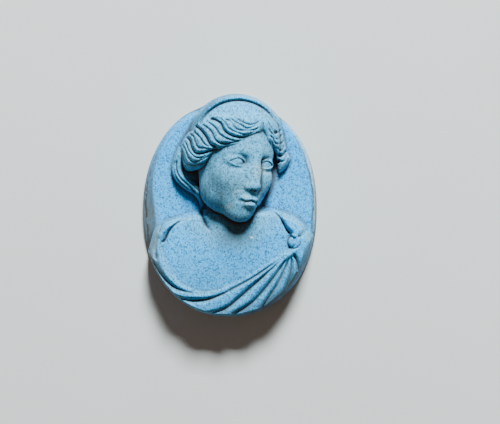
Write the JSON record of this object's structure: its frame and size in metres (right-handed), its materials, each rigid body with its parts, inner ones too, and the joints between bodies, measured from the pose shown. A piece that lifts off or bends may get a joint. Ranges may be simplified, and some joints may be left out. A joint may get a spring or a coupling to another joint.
{
  "type": "lava cameo",
  "caption": "Loose oval cameo of blue-grey lava stone, carved in high relief with a draped bust of a woman whose head turns to the right; flat back.",
  "frame": {"origin": "centre of the flat back, under the middle of the bounding box", "axes": "+Z from the back out through the carved face, +Y towards the top of the head, +X to the viewer's right"},
  "size_m": [0.0296, 0.0379, 0.0121],
  "materials": {
    "lava_cameo": "matt carved lava stone, pale blue-grey"
  },
  "bodies": {
    "root": {"lava_cameo": "lava_cameo"}
  },
  "joints": []
}
